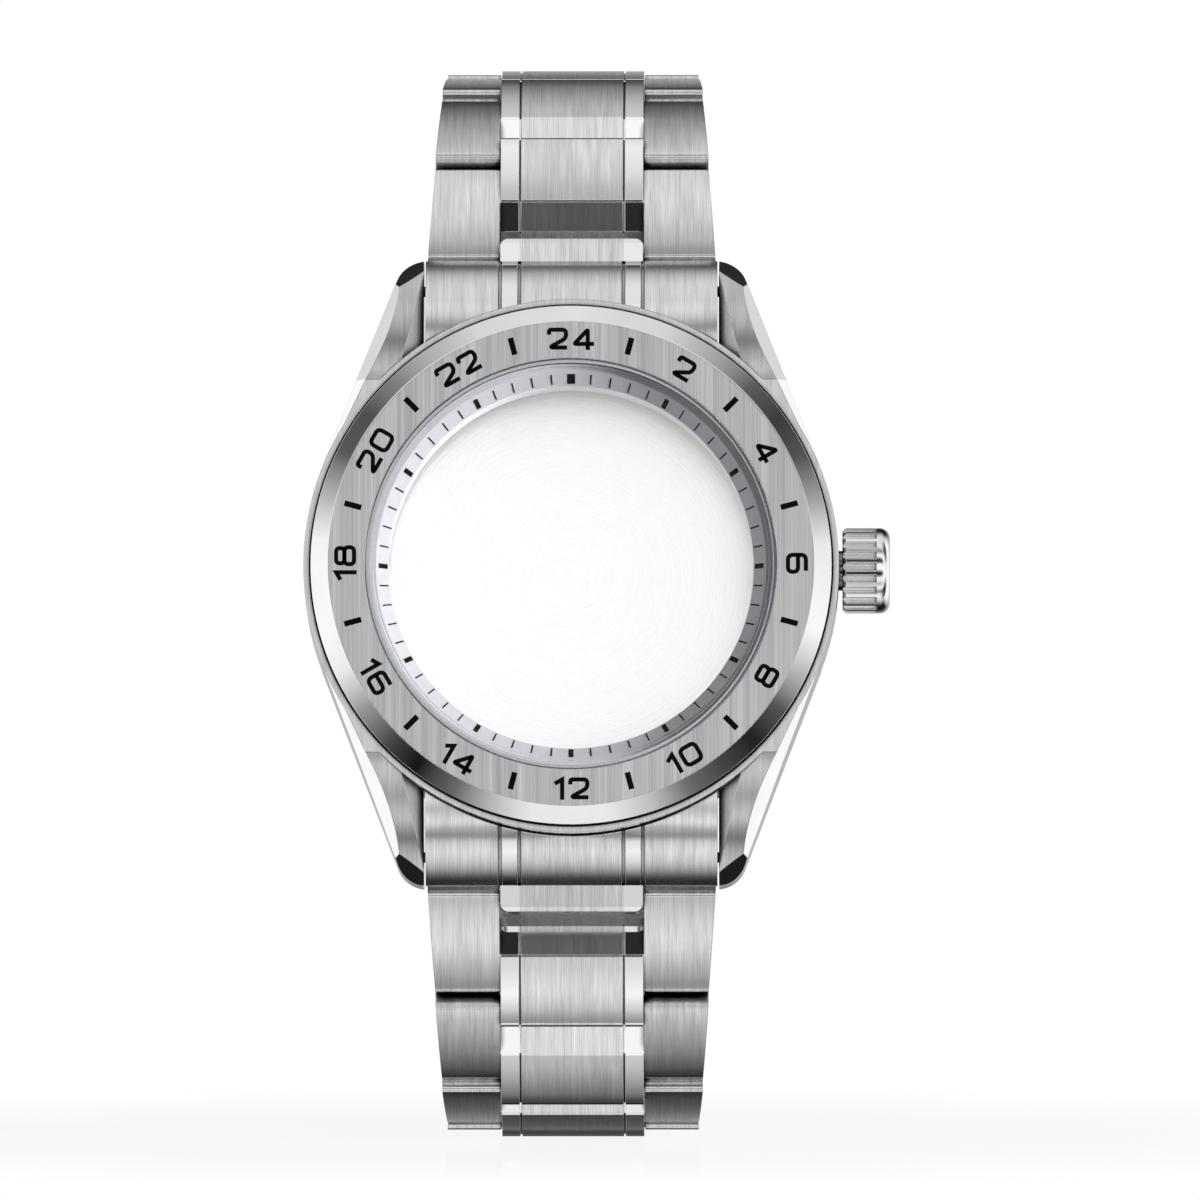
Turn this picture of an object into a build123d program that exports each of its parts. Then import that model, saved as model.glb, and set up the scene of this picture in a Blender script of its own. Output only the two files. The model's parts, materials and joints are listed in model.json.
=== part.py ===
from build123d import *
import os
from math import acos, atan2, cos, hypot, radians, sin, tan

# Empty steel watch case on a closed link bracelet. Millimetres.
# +Z is 12 o'clock, the crystal faces -Y and the crown points along +X.
# The origin is on the case axis, at the height of the crown stem.

# Movement seat: the radii of the case grow outwards from it
seat_radius = 13.75
dial_shoulder = 0.55
dial_recess_depth = 0.55
seat_wall = 1.0
ring_clearance = 0.05
seat_back_gap = 0.4
movement_ring_radius = seat_radius + seat_wall

# Chapter ring, crystal and bezel
chapter_inset = 0.08
chapter_width = 1.28
chapter_shoulder = 0.45
chapter_height = 1.7
chapter_edge = 0.5
crystal_overlap = 0.15
crystal_stand = 0.2
crystal_chamfer = 0.3
gasket_wall = 0.25
gasket_height = 1.35
bezel_flat_width = 2.85
bezel_slope_width = 1.3
bezel_height = 1.6
bezel_edge_height = 0.45
bezel_lip = 0.12
case_step = 0.55
bezel_groove = 0.12
bezel_groove_depth = 0.25
chapter_opening_radius = seat_radius - chapter_inset
chapter_radius = chapter_opening_radius + chapter_width
crystal_radius = chapter_radius + crystal_overlap
crystal_wall_radius = crystal_radius + gasket_wall
bezel_flat_radius = crystal_wall_radius + bezel_flat_width
bezel_radius = bezel_flat_radius + bezel_slope_width
case_radius = bezel_radius + case_step

# Case body and lugs
case_front_y = -4.3
case_back_y = 4.6
back_chamfer = 1.0
lug_gap = 22.1
lug_overhang = 3.45
lug_tip_width = 2.05
lug_corner_drop = 1.68
lug_round_share = 0.585
lug_round_drop = 0.45
lug_root_depth = 1.45
lug_slope_length = 9.5
lug_slope_middle = 3.5
lug_front_mid_y = -1.75
lug_front_tip_y = 1.3
lug_back_tip_y = 5.2
tip_bevel_tilt = 31.0
tip_bevel_inner_drop = 0.8
tip_bevel_inner_y = 0.5
tip_bevel_outer_drop = 0.4
tip_bevel_outer_y = -0.5
facet_outer_tip_inset = 0.12
facet_outer_tip_y = -1.15
facet_outer_tip_drop = 2.7
facet_outer_root_inset = 0.7
facet_outer_tilt = 52.0
facet_end_z = 6.3
facet_inner_tip_inset = -0.27
facet_inner_root_inset = 2.05
facet_inner_tilt = 36.0
bezel_front_y = case_front_y - bezel_height
lug_inner_x = lug_gap / 2
lug_tip_x = lug_inner_x + lug_tip_width
lug_tip_z = case_radius + lug_overhang
lug_root_z = lug_tip_z - lug_slope_length

# Caseback
thread_step = 1.75
thread_depth = 2.0
caseback_flange = 1.7
caseback_height = 1.75
caseback_plate = 1.2
caseback_chamfer = 0.6
caseback_gap = 0.05
notch_count = 6
notch_width = 2.6
notch_depth = 0.9
notch_reach = 1.8
back_seal_step = 0.65
back_seal_wire = 0.2
seal_clearance = 0.05
seal_sides = 6
thread_radius = movement_ring_radius + thread_step
caseback_radius = thread_radius + caseback_flange
back_seal_radius = thread_radius + back_seal_step

# Crown
crown_radius = 3.2
crown_gap = 0.25
crown_length = 3.55
crown_dome = 0.75
crown_edge = 0.25
crown_flutes = 22
flute_radius = 0.3
flute_run = 2.55
flute_sink = 0.08
crown_recess_radius = 2.0
crown_recess_depth = 2.3
tube_radius = 1.5
tube_wall = 0.45
tube_inset = 1.8
tube_reach = 1.9
stem_post_radius = 0.9
stem_hole_radius = 0.45
stem_hole_length = 2.4
stem_post_inset = 0.1
crown_seal_wire = 0.21
crown_seal_radius = 1.75
stem_clearance = 0.25
crown_start_x = case_radius + crown_gap
stem_post_start_x = crown_start_x + stem_post_inset
tube_start_x = movement_ring_radius + ring_clearance + tube_inset
tube_end_x = crown_start_x + tube_reach

# Bracelet
link_count = 7
link_pitch = 8.6
first_pin_y = 5.0
first_pin_reach = 0.5
first_heading = 29.0
curl_front = 24.5
curl_back = 21.0
front_curl_links = 3
link_outer = 1.6
link_inner = 1.4
link_end = 0.93
link_gap = 0.3
link_side_gap = 0.25
link_end_width = 18.0
taper_links = 6
centre_width = 10.7
centre_offset = 3.3
centre_rise = 0.22
centre_bevel_run = 1.9
centre_bevel_drop = 1.5
centre_overhang = 0.65
wing_crown = 0.2
centre_crown = 0.12
strip_width = 1.45
row_groove = 0.14
row_groove_depth = 0.16
side_clearance = 0.08
inner_fillet = 0.8
wing_fillet = 0.4
outer_chamfer = 0.25
tip_fillet = 0.6
pin_radius = 0.45
pin_clearance = 0.04
pin_recess = 0.3
first_pin_z = lug_tip_z + first_pin_reach

# End links and the bars that hold them
end_link_clearance = 0.12
end_link_case_gap = 0.1
end_link_groove = 0.28
end_link_groove_depth = 0.25
end_link_sink = 0.4
end_link_slope_length = 7.5
end_link_slope_middle = 2.5
end_link_mid_y = -1.5
end_link_tip_y = 1.75
end_link_back_y = 4.5
end_link_swing_gap = 0.2
nose_reach = 1.35
nose_front_y = 3.0
nose_round = 0.35
nose_corner = 0.6
pin_wall = 0.3
spring_bar_inset = 2.2
spring_bar_y = 2.7
spring_bar_radius = 0.75
spring_bar_tip_radius = 0.4
spring_bar_tip_length = 1.2
spring_bar_shoulder = 0.3
end_link_front_y = case_front_y + end_link_sink
end_link_root_z = lug_tip_z - end_link_slope_length
end_link_mid_z = lug_tip_z - end_link_slope_middle
nose_tip_z = first_pin_z + nose_reach
spring_bar_z = lug_tip_z - spring_bar_inset

# Folding clasp
blade_width = 9.0
blade_thickness = 0.8
blade_gap = 0.3
block_length = 3.1
fold_inset = 10.5
hinge_overhang = 1.35
cover_thickness = 0.8
cover_wall = 0.9
cover_side = 0.2
cover_corner = 0.5
cover_end_gap = 0.35
wall_lift = 0.3
ear_block = 2.6
knuckle_radius = 0.8
knuckle_width = 4.6
knuckle_ear = 1.9
knuckle_gap = 0.1
clasp_pin_radius = 0.4
tip_trim = 0.85
button_radius = 1.0
button_stand = 0.7
button_flange = 0.35
button_head_grow = 0.3
button_inset = 5.4

os.makedirs("parts", exist_ok=True)


def save(piece, name):
    """Label a finished piece and write it."""
    piece.part.label = name
    export_step(piece.part, f"parts/{name}.step")


def side_plane(x=0.0):
    """Sketch plane seen from the 9 o'clock side: first axis +Z, second axis +Y."""
    return Plane(origin=(x, 0, 0), x_dir=(0, 0, 1), z_dir=(-1, 0, 0))


def front_plane(y):
    """Sketch plane seen from the front: first axis +X, second axis +Z, normal -Y."""
    return Plane(origin=(0, y, 0), x_dir=(1, 0, 0), z_dir=(0, -1, 0))


def ring(*points):
    """Closed outline of (radius, y) points, to be revolved about the case axis."""
    with BuildSketch(Plane.XY) as outline:
        with BuildLine():
            Polyline(*points, close=True)
        make_face()
    return outline.sketch


def facet(point_a, point_b, lean):
    """Plane through two points that also holds the direction lean."""
    along = (Vector(*point_b) - Vector(*point_a)).normalized()
    normal = along.cross(Vector(*lean))
    return Plane(origin=point_a, x_dir=along, z_dir=normal)


def cut_facet(point_a, point_b, lean):
    """Trim the lug to the side of the facet that holds the lug's back corner."""
    plane = facet(point_a, point_b, lean)
    inside = plane.to_local_coords(Vector(lug_tip_x, lug_back_tip_y, lug_root_z)).Z > 0
    split(bisect_by=plane, keep=Keep.TOP if inside else Keep.BOTTOM)


# One lug, at 1 o'clock; the other three are its mirror images
# The flank runs from the tip's corner and touches the round case
tip_corner_z = lug_tip_z - lug_corner_drop
flank = atan2(tip_corner_z, lug_tip_x) - acos(case_radius / hypot(lug_tip_x, tip_corner_z))
flank_x = case_radius / cos(flank)
lug_inside_radius = case_radius - lug_root_depth
lug_root_inner_z = (lug_inside_radius**2 - lug_inner_x**2) ** 0.5
facet_root_x = flank_x - lug_root_z * tan(flank) - facet_outer_root_inset
tangent_point = (case_radius * cos(flank), case_radius * sin(flank))
root_point = (lug_inside_radius * cos(flank), lug_inside_radius * sin(flank))

# The inner facet falls away from a line that is straight when seen from the front, so
# at the lug's inner side it is the front curve, moved back by the line's distance
inner_slope = tan(radians(facet_inner_tilt))
middle_share = lug_slope_middle / lug_slope_length
facet_middle_inset = facet_inner_tip_inset + middle_share * (
    facet_inner_root_inset - facet_inner_tip_inset
)
inner_facet_points = (
    (lug_root_z, case_front_y + inner_slope * facet_inner_root_inset),
    (lug_tip_z - lug_slope_middle, lug_front_mid_y + inner_slope * facet_middle_inset),
    (lug_tip_z, lug_front_tip_y + inner_slope * facet_inner_tip_inset),
)

with BuildPart() as lug:
    with BuildSketch(front_plane(lug_back_tip_y)):
        with BuildLine():
            Line((lug_inner_x, lug_root_inner_z), (lug_inner_x, lug_tip_z))
            ThreePointArc(
                (lug_inner_x, lug_tip_z),
                (lug_inner_x + lug_round_share * lug_tip_width, lug_tip_z - lug_round_drop),
                (lug_tip_x, tip_corner_z),
            )
            Line((lug_tip_x, tip_corner_z), tangent_point)
            Line(tangent_point, root_point)
            Line(root_point, (lug_inner_x, lug_root_inner_z))
        make_face()
    extrude(amount=lug_back_tip_y - case_front_y)
    with BuildSketch(side_plane(lug_inner_x)):
        with BuildLine():
            Line((0, case_front_y), (lug_root_z, case_front_y))
            ThreePointArc(
                (lug_root_z, case_front_y),
                (lug_tip_z - lug_slope_middle, lug_front_mid_y),
                (lug_tip_z, lug_front_tip_y),
            )
            Line((lug_tip_z, lug_front_tip_y), (lug_tip_z, lug_back_tip_y))
            Line((lug_tip_z, lug_back_tip_y), (lug_root_z, case_back_y))
            Line((lug_root_z, case_back_y), (0, case_back_y))
            Line((0, case_back_y), (0, case_front_y))
        make_face()
    extrude(amount=case_radius, both=True, mode=Mode.INTERSECT)
    outer_lean = (cos(radians(facet_outer_tilt)), sin(radians(facet_outer_tilt)), 0)
    cut_facet(
        (lug_tip_x - facet_outer_tip_inset, facet_outer_tip_y, lug_tip_z - facet_outer_tip_drop),
        (facet_root_x, case_front_y, lug_root_z),
        outer_lean,
    )
    cut_facet(
        (facet_root_x, case_front_y, lug_root_z),
        (flank_x - facet_end_z * tan(flank), case_front_y, facet_end_z),
        outer_lean,
    )
    with BuildSketch(side_plane(lug_inner_x)):
        with BuildLine():
            Line((lug_root_z, bezel_front_y), inner_facet_points[0])
            ThreePointArc(*inner_facet_points)
            Line(inner_facet_points[2], (lug_tip_z, bezel_front_y))
            Line((lug_tip_z, bezel_front_y), (lug_root_z, bezel_front_y))
        make_face()
    extrude(amount=2 * lug_tip_width, dir=(1, -inner_slope, 0), mode=Mode.SUBTRACT)
    cut_facet(
        (lug_inner_x, tip_bevel_inner_y, lug_tip_z - tip_bevel_inner_drop),
        (lug_tip_x, tip_bevel_outer_y, tip_corner_z - tip_bevel_outer_drop),
        (0, cos(radians(tip_bevel_tilt)), sin(radians(tip_bevel_tilt))),
    )

# Case body
bore_radius = chapter_radius + ring_clearance
ring_bore_radius = movement_ring_radius + ring_clearance
thread_bore_radius = thread_radius + ring_clearance
chapter_back_y = case_front_y + chapter_height
thread_front_y = case_back_y - thread_depth
bar_tip_x = lug_inner_x + spring_bar_tip_length

with BuildPart() as mid_case:
    profile = ring(
        (bore_radius, case_front_y),
        (case_radius, case_front_y),
        (case_radius, case_back_y - back_chamfer),
        (case_radius - back_chamfer, case_back_y),
        (thread_bore_radius, case_back_y),
        (thread_bore_radius, thread_front_y),
        (ring_bore_radius, thread_front_y),
        (ring_bore_radius, chapter_back_y),
        (bore_radius, chapter_back_y),
    )
    revolve(profile, axis=Axis.Y)
    add(lug.part)
    add(lug.part.mirror(Plane.YZ))
    add(lug.part.mirror(Plane.XY))
    add(lug.part.mirror(Plane.YZ).mirror(Plane.XY))
    with BuildSketch(front_plane(case_front_y)):
        Circle(bezel_radius + bezel_groove)
        Circle(bezel_radius, mode=Mode.SUBTRACT)
    extrude(amount=-bezel_groove_depth, mode=Mode.SUBTRACT)
    with BuildSketch(Plane.YZ.offset(seat_radius)):
        Circle(tube_radius)
    extrude(amount=case_radius, mode=Mode.SUBTRACT)
    for bar_z in (spring_bar_z, -spring_bar_z):
        with BuildSketch(Plane(origin=(-bar_tip_x, spring_bar_y, bar_z), z_dir=(1, 0, 0))):
            Circle(spring_bar_tip_radius + ring_clearance)
        extrude(amount=2 * bar_tip_x, mode=Mode.SUBTRACT)
save(mid_case, "mid_case")

# Bezel: a sloping outer ring round a flat ring
with BuildPart() as bezel:
    profile = ring(
        (crystal_wall_radius, case_front_y),
        (bezel_radius, case_front_y),
        (bezel_radius, case_front_y - bezel_edge_height),
        (bezel_flat_radius + bezel_lip, bezel_front_y + bezel_lip),
        (bezel_flat_radius, bezel_front_y),
        (crystal_wall_radius + bezel_lip, bezel_front_y),
        (crystal_wall_radius, bezel_front_y + bezel_lip),
    )
    revolve(profile, axis=Axis.Y)
save(bezel, "bezel")

# Crystal and its gasket, standing on the case's front ledge
crystal_front_y = bezel_front_y - crystal_stand
with BuildPart() as crystal:
    profile = ring(
        (0, case_front_y),
        (crystal_radius, case_front_y),
        (crystal_radius, crystal_front_y + crystal_chamfer),
        (crystal_radius - crystal_chamfer, crystal_front_y),
        (0, crystal_front_y),
    )
    revolve(profile, axis=Axis.Y)
save(crystal, "crystal")

with BuildPart() as crystal_gasket:
    profile = ring(
        (crystal_radius, case_front_y),
        (crystal_wall_radius, case_front_y),
        (crystal_wall_radius, case_front_y - gasket_height),
        (crystal_radius, case_front_y - gasket_height),
    )
    revolve(profile, axis=Axis.Y)
save(crystal_gasket, "crystal_gasket")

# Chapter ring: a sloping face from the crystal down to the opening
with BuildPart() as chapter_ring:
    profile = ring(
        (chapter_radius, case_front_y),
        (chapter_radius, chapter_back_y),
        (chapter_opening_radius, chapter_back_y),
        (chapter_opening_radius, chapter_back_y - chapter_edge),
        (chapter_radius - chapter_shoulder, case_front_y + bezel_lip),
        (chapter_radius - chapter_shoulder + bezel_lip, case_front_y),
    )
    revolve(profile, axis=Axis.Y)
save(chapter_ring, "chapter_ring")

# Movement ring: the seat of the movement and, in front of it, of its dial; the notch
# lets the movement drop in with its stem
ring_front_y = chapter_back_y + ring_clearance
dial_recess_radius = seat_radius + dial_shoulder
seat_back_y = thread_front_y - seat_back_gap
with BuildPart() as movement_ring:
    profile = ring(
        (dial_recess_radius, ring_front_y),
        (movement_ring_radius, ring_front_y),
        (movement_ring_radius, seat_back_y),
        (seat_radius, seat_back_y),
        (seat_radius, ring_front_y + dial_recess_depth),
        (dial_recess_radius, ring_front_y + dial_recess_depth),
    )
    revolve(profile, axis=Axis.Y)
    with BuildSketch(Plane.YZ.offset(seat_radius / 2)):
        Circle(stem_post_radius + stem_clearance)
        with Locations((seat_back_y / 2, 0)):
            Rectangle(seat_back_y, 2 * (stem_post_radius + stem_clearance))
    extrude(amount=seat_radius, mode=Mode.SUBTRACT)
save(movement_ring, "movement_ring")

# Caseback: threaded rim, flange with wrench notches, plain plate
flange_front_y = case_back_y + caseback_gap
flange_back_y = flange_front_y + caseback_height
seal_groove_radius = back_seal_wire + seal_clearance
with BuildPart() as caseback:
    profile = ring(
        (0, flange_back_y - caseback_plate),
        (thread_radius - caseback_plate, flange_back_y - caseback_plate),
        (thread_radius - caseback_plate, thread_front_y + caseback_gap),
        (thread_radius, thread_front_y + caseback_gap),
        (thread_radius, flange_front_y),
        (back_seal_radius - seal_groove_radius, flange_front_y),
        (back_seal_radius - seal_groove_radius, flange_front_y + 2 * seal_groove_radius),
        (back_seal_radius + seal_groove_radius, flange_front_y + 2 * seal_groove_radius),
        (back_seal_radius + seal_groove_radius, flange_front_y),
        (caseback_radius, flange_front_y),
        (caseback_radius, flange_back_y - caseback_chamfer),
        (caseback_radius - caseback_chamfer, flange_back_y),
        (0, flange_back_y),
    )
    revolve(profile, axis=Axis.Y)
    with BuildSketch(front_plane(flange_back_y)):
        with PolarLocations(caseback_radius, notch_count):
            Rectangle(2 * notch_reach, notch_width)
    extrude(amount=notch_depth, mode=Mode.SUBTRACT)
save(caseback, "caseback")

with BuildPart() as caseback_gasket:
    with BuildSketch(Plane.XY):
        with Locations((back_seal_radius, flange_front_y + seal_groove_radius)):
            RegularPolygon(back_seal_wire, seal_sides)
    revolve(axis=Axis.Y)
save(caseback_gasket, "caseback_gasket")

# Crown: fluted barrel with a domed cap, hollow round the tube, threaded for a stem
crown_plane = Plane(origin=(crown_start_x, 0, 0), x_dir=(0, 1, 0), z_dir=(1, 0, 0))
crown_end_x = crown_start_x + crown_length
recess_end_x = crown_start_x + crown_recess_depth
with BuildPart() as crown_tube:
    with BuildSketch(Plane.YZ.offset(tube_start_x)):
        Circle(tube_radius)
        Circle(tube_radius - tube_wall, mode=Mode.SUBTRACT)
    extrude(amount=tube_end_x - tube_start_x)
save(crown_tube, "crown_tube")

with BuildPart() as crown:
    with BuildSketch(Plane.XY):
        with BuildLine():
            Polyline(
                (crown_start_x, crown_recess_radius),
                (crown_start_x, crown_radius - crown_edge),
                (crown_start_x + crown_edge, crown_radius),
                (crown_end_x - crown_dome, crown_radius),
            )
            TangentArc(
                (crown_end_x - crown_dome, crown_radius),
                (crown_end_x, crown_radius - crown_dome),
                tangent=(1, 0),
            )
            Polyline(
                (crown_end_x, crown_radius - crown_dome),
                (crown_end_x, 0),
                (recess_end_x, 0),
                (recess_end_x, crown_recess_radius),
                (crown_start_x, crown_recess_radius),
            )
        make_face()
    revolve(axis=Axis.X)
    with BuildSketch(crown_plane.offset(stem_post_start_x - crown_start_x)):
        Circle(stem_post_radius)
    extrude(amount=recess_end_x - stem_post_start_x)
    with BuildSketch(crown_plane.offset(stem_post_start_x - crown_start_x)):
        Circle(stem_hole_radius)
    extrude(amount=stem_hole_length, mode=Mode.SUBTRACT)
    with BuildSketch(crown_plane):
        with PolarLocations(crown_radius + flute_sink, crown_flutes):
            Circle(flute_radius)
    extrude(amount=flute_run, mode=Mode.SUBTRACT)
save(crown, "crown")

with BuildPart() as crown_gasket:
    with BuildSketch(Plane.XY):
        with Locations((recess_end_x - 2 * crown_seal_wire, crown_seal_radius)):
            RegularPolygon(crown_seal_wire, seal_sides)
    revolve(axis=Axis.X)
save(crown_gasket, "crown_gasket")


# Bracelet: one chain of pins and links on each side, side +1 at 12 and -1 at 6 o'clock
def heading(index):
    """Direction of a link, counted from 0, as degrees turned from the case towards the wrist."""
    front = min(index, front_curl_links - 1)
    return first_heading + curl_front * front + curl_back * (index - front)


def pin_place(index):
    """Distance back and height of a pin, counted from 0."""
    y = first_pin_y + sum(link_pitch * sin(radians(heading(n))) for n in range(index))
    z = first_pin_z + sum(link_pitch * cos(radians(heading(n))) for n in range(index))
    return y, z


def chain_plane(index, side):
    """Plane at a pin: first axis along the link, second axis out of the bracelet."""
    y, z = pin_place(index)
    angle = radians(heading(index))
    return Plane(
        origin=(0, y, side * z),
        x_dir=(0, sin(angle), side * cos(angle)),
        z_dir=(side, 0, 0),
    )


def plan_plane(index, side):
    """Plane at a pin seen from outside the bracelet: first axis along the link."""
    flat = chain_plane(index, side)
    return Plane(origin=flat.origin, x_dir=flat.x_dir, z_dir=flat.y_dir)


def half_width(index):
    """Half the bracelet's width at a pin: it narrows smoothly and then runs straight."""
    start = lug_inner_x - link_side_gap
    end = link_end_width / 2
    share = max(0.0, 1 - index / taper_links)
    return end + (start - end) * share**2


wing_end = link_pitch - link_end - link_gap
centre_half = centre_width / 2
slot_half = centre_half + side_clearance
centre_start = centre_offset - link_end
strip_inner = centre_half - strip_width
link_thickness = link_outer + link_inner


def wing_profile():
    """Side outline of the wings, rounded on the inside so that the links can curl."""
    low_top = link_outer - wing_crown
    with BuildSketch() as outline:
        with BuildLine():
            Line((-link_end, -link_inner), (-link_end, low_top))
            ThreePointArc(
                (-link_end, low_top),
                ((wing_end - link_end) / 2, link_outer),
                (wing_end, low_top),
            )
            Line((wing_end, low_top), (wing_end, -link_inner))
            Line((wing_end, -link_inner), (-link_end, -link_inner))
        make_face()
        fillet(outline.vertices().group_by(Axis.Y)[0], inner_fillet)
        fillet(outline.vertices().group_by(Axis.Y)[-1], wing_fillet)
    return outline.sketch


def centre_profile(reach):
    """Side outline of the raised centre: bevelled near end, tip out to reach."""
    top = link_outer + centre_rise
    low_top = top - centre_crown
    flat_start = centre_start + centre_bevel_run
    with BuildSketch() as outline:
        with BuildLine():
            Polyline(
                (reach, low_top),
                (reach, -link_inner),
                (centre_start, -link_inner),
                (centre_start, low_top - centre_bevel_drop),
                (flat_start, low_top),
            )
            ThreePointArc(
                (flat_start, low_top),
                ((flat_start + reach) / 2, top),
                (reach, low_top),
            )
        make_face()
        fillet(outline.vertices().group_by(Axis.X)[-1], tip_fillet)
        fillet(outline.vertices().group_by(Axis.X)[0].sort_by(Axis.Y)[0], tip_fillet)
    return outline.sketch


def groove_profile(reach):
    """Band of the fine grooves that part the rows, over the outer side of the centre."""
    centre = centre_profile(reach)
    with BuildSketch() as outline:
        add(centre)
        offset(centre, amount=-row_groove_depth, mode=Mode.SUBTRACT)
        with Locations((0, -link_inner)):
            Rectangle(3 * reach, 2 * link_inner, mode=Mode.SUBTRACT)
    return outline.sketch


def link_piece(index, side):
    """A solid link: two tapered wings and a raised centre that reaches past them."""
    flat = chain_plane(index, side)
    half_start = half_width(index)
    half_end = half_width(index + 1)
    last = index == link_count - 1 and side < 0
    reach = link_pitch + (-tip_trim if last else link_end + centre_overhang)
    with BuildPart() as link:
        with BuildSketch(flat):
            add(wing_profile())
        extrude(amount=half_start, both=True)
        with BuildSketch(plan_plane(index, side).offset(-link_inner)):
            with BuildLine():
                Polyline(
                    (-link_end, half_start),
                    (wing_end, half_end),
                    (wing_end, -half_end),
                    (-link_end, -half_start),
                    close=True,
                )
            make_face()
        extrude(amount=link_thickness, mode=Mode.INTERSECT)
        with BuildSketch(flat):
            Rectangle(2 * centre_start, 3 * link_thickness)
        extrude(amount=slot_half, both=True, mode=Mode.SUBTRACT)
        with BuildSketch(flat):
            add(centre_profile(reach))
        extrude(amount=centre_half, both=True)
        for row in (-strip_inner, strip_inner):
            with BuildSketch(flat.offset(row)):
                add(groove_profile(reach))
            extrude(amount=row_groove / 2, both=True, mode=Mode.SUBTRACT)
        with BuildSketch(flat):
            Circle(pin_radius)
        extrude(amount=half_start, both=True, mode=Mode.SUBTRACT)
        if not last:
            with BuildSketch(flat):
                with Locations((link_pitch, 0)):
                    Circle(pin_radius + pin_clearance)
            extrude(amount=half_start, both=True, mode=Mode.SUBTRACT)
    return link


def pin_piece(index, side, radius):
    """A plain pin, its ends just inside the link's sides."""
    with BuildPart() as pin:
        with BuildSketch(chain_plane(index, side)):
            Circle(radius)
        extrude(amount=half_width(index) - pin_recess, both=True)
    return pin


for side, label in ((1, "12"), (-1, "6")):
    for index in range(link_count):
        save(link_piece(index, side), f"link_{label}_{index + 1}")
        save(pin_piece(index, side, pin_radius), f"pin_{label}_{index + 1}")

# End links: ears between the lugs and a nose that carries the first pin
nose_bottom_y = first_pin_y + link_end + pin_wall
swing_radius = hypot(link_end, link_outer) + end_link_swing_gap
end_link_half = lug_inner_x - end_link_clearance
front_points = (
    (end_link_root_z, end_link_front_y),
    (end_link_mid_z, end_link_mid_y),
    (lug_tip_z, end_link_tip_y),
)
groove_points = tuple((z, y + end_link_groove_depth) for z, y in front_points)

with BuildPart() as end_link_12:
    with BuildSketch(side_plane()):
        with BuildLine():
            ThreePointArc(*front_points)
            Polyline(
                front_points[2],
                (lug_tip_z, end_link_back_y),
                (seat_radius, end_link_back_y),
                (seat_radius, end_link_front_y),
                front_points[0],
            )
        make_face()
    extrude(amount=end_link_half, both=True)
    with BuildSketch(chain_plane(0, 1)):
        Circle(swing_radius)
    extrude(amount=end_link_half, both=True, mode=Mode.SUBTRACT)
    with BuildSketch(side_plane()):
        with BuildLine():
            ThreePointArc(*front_points)
            Polyline(
                front_points[2],
                (nose_tip_z - nose_round, nose_front_y - nose_round),
                (nose_tip_z, nose_front_y),
                (nose_tip_z, first_pin_y + pin_wall),
                (first_pin_z + pin_wall, nose_bottom_y),
                (first_pin_z - pin_wall, nose_bottom_y),
                (spring_bar_z, end_link_back_y),
                (seat_radius, end_link_back_y),
                (seat_radius, end_link_front_y),
                front_points[0],
            )
        make_face()
    extrude(amount=centre_half, both=True)
    fillet(end_link_12.edges().filter_by(Axis.Y).group_by(Axis.Z)[-1], nose_corner)
    with BuildSketch(front_plane(case_radius)):
        Circle(case_radius + end_link_case_gap)
    extrude(amount=2 * case_radius, mode=Mode.SUBTRACT)
    for row in (-centre_half, -strip_inner, strip_inner, centre_half):
        with BuildSketch(side_plane(row)):
            with BuildLine():
                ThreePointArc(*front_points)
                Line(front_points[2], groove_points[2])
                ThreePointArc(*groove_points)
                Line(groove_points[0], front_points[0])
            make_face()
        extrude(amount=end_link_groove / 2, both=True, mode=Mode.SUBTRACT)
    with BuildSketch(chain_plane(0, 1)):
        Circle(pin_radius + pin_clearance)
    extrude(amount=end_link_half, both=True, mode=Mode.SUBTRACT)
    with BuildSketch(side_plane()):
        with Locations((spring_bar_z, spring_bar_y)):
            Circle(spring_bar_radius)
    extrude(amount=end_link_half, both=True, mode=Mode.SUBTRACT)
save(end_link_12, "end_link_12")

with BuildPart() as end_link_6:
    add(end_link_12.part.mirror(Plane.XY))
save(end_link_6, "end_link_6")

for bar_z, label in ((spring_bar_z, "12"), (-spring_bar_z, "6")):
    with BuildPart() as spring_bar:
        with BuildSketch(side_plane()):
            with Locations((bar_z, spring_bar_y)):
                Circle(spring_bar_radius)
        extrude(amount=end_link_half - spring_bar_shoulder, both=True)
        with BuildSketch(side_plane()):
            with Locations((bar_z, spring_bar_y)):
                Circle(spring_bar_tip_radius)
        extrude(amount=bar_tip_x - ring_clearance, both=True)
    save(spring_bar, f"spring_bar_{label}")

# Folding clasp. Its own side view: first axis from the 12 o'clock pin to the 6 o'clock
# pin, second axis out of the bracelet, both counted from the 12 o'clock pin.
clasp_pin_y, clasp_pin_z = pin_place(link_count)
clasp_length = 2 * clasp_pin_z
clasp_plane = Plane(origin=(0, clasp_pin_y, clasp_pin_z), x_dir=(0, 0, -1), z_dir=(1, 0, 0))
blade_half = blade_width / 2
block_half = half_width(link_count)
inner_bottom = -link_inner
inner_top = inner_bottom + blade_thickness
middle_bottom = inner_top + blade_gap
middle_top = middle_bottom + blade_thickness
fold_v = (inner_top + middle_bottom) / 2
fold_u = clasp_length - fold_inset
lift_v = middle_top + blade_gap / 2
lift_u = block_length + cover_end_gap + hinge_overhang
cover_bottom = lift_v + knuckle_radius + knuckle_gap
cover_top = cover_bottom + cover_thickness
knuckle_half = knuckle_width / 2
ear_start = knuckle_half + knuckle_gap
ear_end = ear_start + knuckle_ear
knuckle_reach = knuckle_radius + blade_gap


def slab(u_start, u_end, v_start, v_end):
    """Rectangle in the clasp's side view, by its limits."""
    with BuildSketch() as outline:
        with Locations(((u_start + u_end) / 2, (v_start + v_end) / 2)):
            Rectangle(u_end - u_start, v_end - v_start)
    return outline.sketch


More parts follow.
